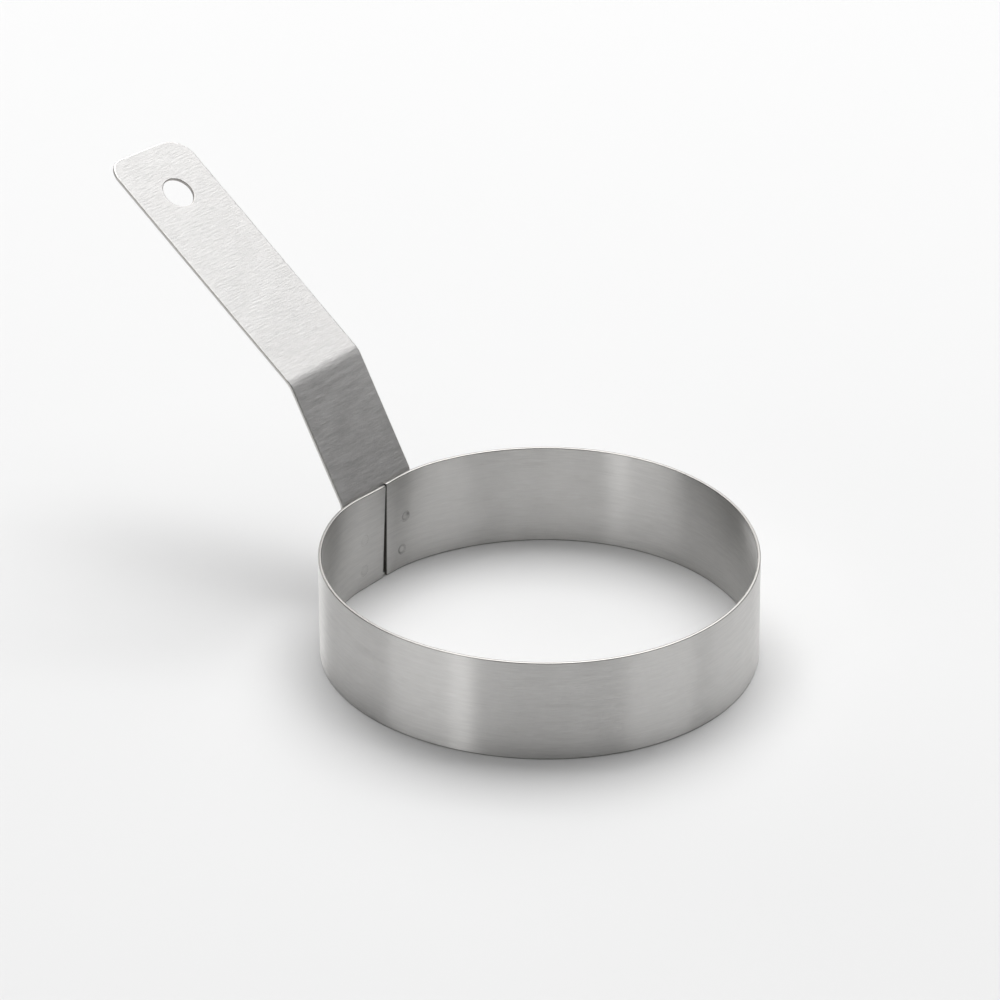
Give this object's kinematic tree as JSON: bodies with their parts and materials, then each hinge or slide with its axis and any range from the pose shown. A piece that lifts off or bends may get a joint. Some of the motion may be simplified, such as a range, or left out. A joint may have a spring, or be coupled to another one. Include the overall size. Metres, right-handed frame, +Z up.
{
  "type": "egg ring",
  "caption": "Round steel egg ring: a rolled band, open at top and bottom, with a bent strap handle spot welded over its butt seam and a hang hole at the handle's free end.",
  "frame": {"origin": "middle of the ring, in the plane of the band's lower edge, which the part stands on", "axes": "+Z up along the ring's axis, +X from the ring's middle through the handle's foot, the way the handle leaves the band, +Y to the left seen along +X"},
  "size_m": [0.1737, 0.1032, 0.0908],
  "materials": {
    "band_steel": "stainless strip, finely brushed round the band",
    "handle_steel": "stainless strip, satin brushed across its width",
    "weld_steel": "bare resistance weld spots, slightly darkened"
  },
  "bodies": {
    "root": {"ring_band": "band_steel", "handle": "handle_steel", "spot_welds": "weld_steel"}
  },
  "joints": []
}
